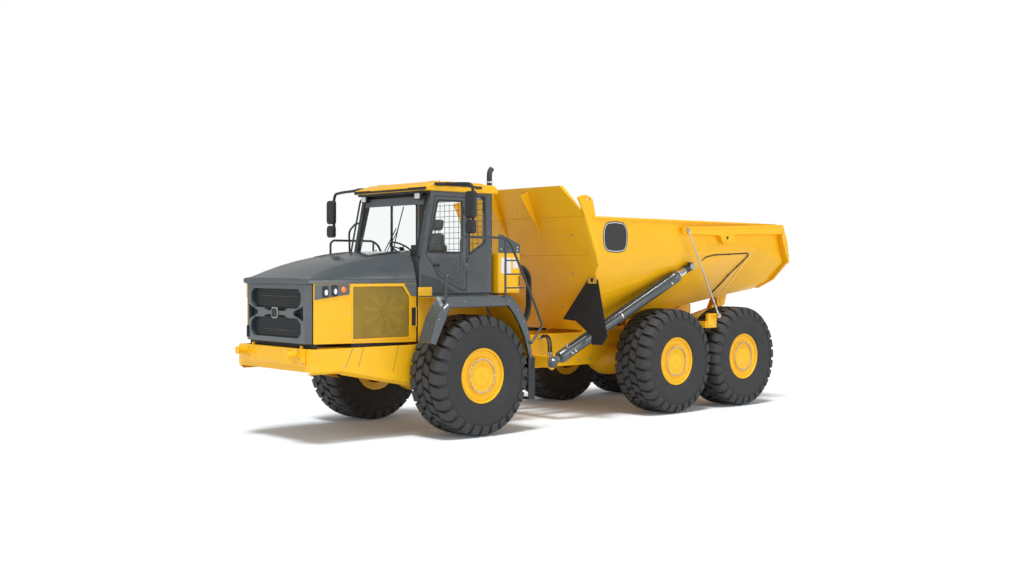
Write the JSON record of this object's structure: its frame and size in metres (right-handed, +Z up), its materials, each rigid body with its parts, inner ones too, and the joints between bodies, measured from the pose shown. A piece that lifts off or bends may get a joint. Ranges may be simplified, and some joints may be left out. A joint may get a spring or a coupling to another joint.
{
  "type": "articulated dump truck",
  "caption": "Articulated off-road dump truck with a cab and tilting hood in front, a centre steering hitch, a bogie, a tipping bed and a tailgate opened by cables.",
  "frame": {"origin": "on the ground, in the middle of the overall length and width, with all six wheels standing on it", "axes": "+Z up, front towards -Y, +X to the machine's left"},
  "size_m": [3.95, 10.8, 4.2816],
  "materials": {
    "paint_yellow": "gloss enamel, yellow",
    "paint_charcoal": "satin enamel, charcoal",
    "black_plastic": "grained black",
    "tyre_rubber": "matt black rubber",
    "black_rubber": "black rubber",
    "machined_steel": "machined and plated steel",
    "exhaust_steel": "grey coated steel",
    "cab_glass": "lightly tinted",
    "seat_fabric": "black woven cloth"
  },
  "bodies": {
    "front_unit": {"front_frame": "paint_yellow", "front_bumper": "paint_yellow", "front_axle": "paint_yellow", "powertrain": "paint_charcoal", "cooling_pack": "black_plastic", "left_fender": "paint_charcoal", "right_fender": "paint_charcoal", "rear_cabinet": "paint_yellow", "cab_shell": "paint_charcoal", "cab_roof": "paint_yellow", "windshield": "cab_glass", "rear_window": "cab_glass", "left_quarter_window": "cab_glass", "right_window": "cab_glass", "operator_seat": "seat_fabric", "dashboard": "black_plastic", "left_mirror": "black_plastic", "right_mirror": "black_plastic", "exhaust_stack": "exhaust_steel", "hose_loop": "black_rubber"},
    "cooling_fan": {"cooling_fan": "black_plastic"},
    "hood": {"hood_top": "paint_charcoal", "grille": "paint_charcoal", "left_side_panel": "paint_yellow", "right_side_panel": "paint_yellow"},
    "cab_door": {"cab_door": "paint_charcoal", "door_window": "cab_glass"},
    "articulation": {"articulation_yoke": "paint_yellow"},
    "rear_unit": {"rear_frame": "paint_yellow", "mid_axle": "paint_yellow", "rear_axle": "paint_yellow", "left_bogie_beam": "paint_yellow", "right_bogie_beam": "paint_yellow"},
    "dump_bed": {"dump_bed": "paint_yellow", "left_mud_flap": "black_rubber", "right_mud_flap": "black_rubber"},
    "tailgate": {"tailgate": "paint_yellow"},
    "tailgate_cables": {"left_tailgate_cable": "machined_steel", "right_tailgate_cable": "machined_steel"},
    "left_steering_barrel": {"left_steering_barrel": "paint_charcoal"},
    "right_steering_barrel": {"right_steering_barrel": "paint_charcoal"},
    "left_steering_rod": {"left_steering_rod": "machined_steel"},
    "right_steering_rod": {"right_steering_rod": "machined_steel"},
    "left_lift_barrel": {"left_lift_barrel": "paint_charcoal"},
    "right_lift_barrel": {"right_lift_barrel": "paint_charcoal"},
    "left_lift_rod": {"left_lift_rod": "machined_steel"},
    "right_lift_rod": {"right_lift_rod": "machined_steel"},
    "front_left_wheel": {"front_left_tyre": "tyre_rubber", "front_left_rim": "paint_yellow"},
    "front_right_wheel": {"front_right_tyre": "tyre_rubber", "front_right_rim": "paint_yellow"},
    "mid_left_wheel": {"mid_left_tyre": "tyre_rubber", "mid_left_rim": "paint_yellow"},
    "mid_right_wheel": {"mid_right_tyre": "tyre_rubber", "mid_right_rim": "paint_yellow"},
    "rear_left_wheel": {"rear_left_tyre": "tyre_rubber", "rear_left_rim": "paint_yellow"},
    "rear_right_wheel": {"rear_right_tyre": "tyre_rubber", "rear_right_rim": "paint_yellow"}
  },
  "joints": [
    {"name": "steer", "type": "hinge", "parent": "front_unit", "child": "articulation", "pos_m": [0, -0.972, 1.05], "axis": [0, 0, 1], "range_deg": [-45, 45]},
    {"name": "oscillation", "type": "hinge", "parent": "articulation", "child": "rear_unit", "pos_m": [0, 0, 1.05], "axis": [0, 1, 0], "range_deg": [-15, 15]},
    {"name": "bed_tip", "type": "hinge", "parent": "rear_unit", "child": "dump_bed", "pos_m": [0, 4.77, 1.95], "axis": [-1, 0, 0], "range_deg": [0, 70]},
    {"name": "hood_tilt", "type": "hinge", "parent": "front_unit", "child": "hood", "pos_m": [0, -5.12, 1.44], "axis": [1, 0, 0], "range_deg": [0, 60]},
    {"name": "cab_door_swing", "type": "hinge", "parent": "front_unit", "child": "cab_door", "pos_m": [0.918, -2.165, 2.975], "axis": [0, 0, 1], "range_deg": [0, 90]},
    {"name": "fan_spin", "type": "hinge", "parent": "front_unit", "child": "cooling_fan", "pos_m": [0.76, -3.82, 1.93], "axis": [1, 0, 0], "continuous": true},
    {"name": "front_left_wheel_spin", "type": "hinge", "parent": "front_unit", "child": "front_left_wheel", "pos_m": [1.385, -2.53, 0.935], "axis": [1, 0, 0], "continuous": true},
    {"name": "front_right_wheel_spin", "type": "hinge", "parent": "front_unit", "child": "front_right_wheel", "pos_m": [-1.385, -2.53, 0.935], "axis": [1, 0, 0], "continuous": true},
    {"name": "mid_left_wheel_spin", "type": "hinge", "parent": "rear_unit", "child": "mid_left_wheel", "pos_m": [1.385, 2.05, 0.935], "axis": [1, 0, 0], "continuous": true},
    {"name": "mid_right_wheel_spin", "type": "hinge", "parent": "rear_unit", "child": "mid_right_wheel", "pos_m": [-1.385, 2.05, 0.935], "axis": [1, 0, 0], "continuous": true},
    {"name": "rear_left_wheel_spin", "type": "hinge", "parent": "rear_unit", "child": "rear_left_wheel", "pos_m": [1.385, 4, 0.935], "axis": [1, 0, 0], "continuous": true},
    {"name": "rear_right_wheel_spin", "type": "hinge", "parent": "rear_unit", "child": "rear_right_wheel", "pos_m": [-1.385, 4, 0.935], "axis": [1, 0, 0], "continuous": true},
    {"name": "tailgate_swing", "type": "hinge", "parent": "dump_bed", "child": "tailgate", "pos_m": [0, 3.425, 3.162], "axis": [1, 0, 0], "range_deg": [-5, 115]},
    {"name": "cable_swing", "type": "hinge", "parent": "rear_unit", "child": "tailgate_cables", "pos_m": [0, 3.17, 1.72], "axis": [-1, 0, 0], "range_deg": [-5, 90]},
    {"name": "left_lift_swing", "type": "hinge", "parent": "rear_unit", "child": "left_lift_barrel", "pos_m": [1.05, -0.4, 1], "axis": [0.7018, -0.4376, 0.5622], "range_deg": [-20, 40]},
    {"name": "left_lift_extend", "type": "slide", "parent": "left_lift_barrel", "child": "left_lift_rod", "axis": [0.1578, 0.865, 0.4763], "range_m": [-0.05, 2.665]},
    {"name": "right_lift_swing", "type": "hinge", "parent": "rear_unit", "child": "right_lift_barrel", "pos_m": [-1.05, -0.4, 1], "axis": [0.7018, 0.4376, -0.5622], "range_deg": [-20, 40]},
    {"name": "right_lift_extend", "type": "slide", "parent": "right_lift_barrel", "child": "right_lift_rod", "axis": [-0.1578, 0.865, 0.4763], "range_m": [-0.05, 2.665]},
    {"name": "left_steering_swing", "type": "hinge", "parent": "front_unit", "child": "left_steering_barrel", "pos_m": [0.55, -2.18, 1.05], "axis": [0, 0, 1], "range_deg": [-10, 10]},
    {"name": "left_steering_extend", "type": "slide", "parent": "left_steering_barrel", "child": "left_steering_rod", "axis": [-0.0893, 0.996, 0], "range_m": [-0.35, 0.35]},
    {"name": "right_steering_swing", "type": "hinge", "parent": "front_unit", "child": "right_steering_barrel", "pos_m": [-0.55, -2.18, 1.05], "axis": [0, 0, 1], "range_deg": [-10, 10]},
    {"name": "right_steering_extend", "type": "slide", "parent": "right_steering_barrel", "child": "right_steering_rod", "axis": [0.0893, 0.996, 0], "range_m": [-0.35, 0.35]}
  ],
  "couplings": [
    {"joint": "tailgate_swing", "follows": "bed_tip", "ratio": 1.58},
    {"joint": "cable_swing", "follows": "bed_tip", "ratio": 1.08},
    {"joint": "left_lift_swing", "follows": "bed_tip", "ratio": 0.079782},
    {"joint": "left_lift_extend", "follows": "bed_tip", "m_per_rad": 2.1406},
    {"joint": "right_lift_swing", "follows": "bed_tip", "ratio": 0.079782},
    {"joint": "right_lift_extend", "follows": "bed_tip", "m_per_rad": 2.1406},
    {"joint": "left_steering_swing", "follows": "steer", "ratio": 0.1097},
    {"joint": "left_steering_extend", "follows": "steer", "m_per_rad": 0.4098},
    {"joint": "right_steering_swing", "follows": "steer", "ratio": 0.1097},
    {"joint": "right_steering_extend", "follows": "steer", "m_per_rad": -0.4098}
  ]
}
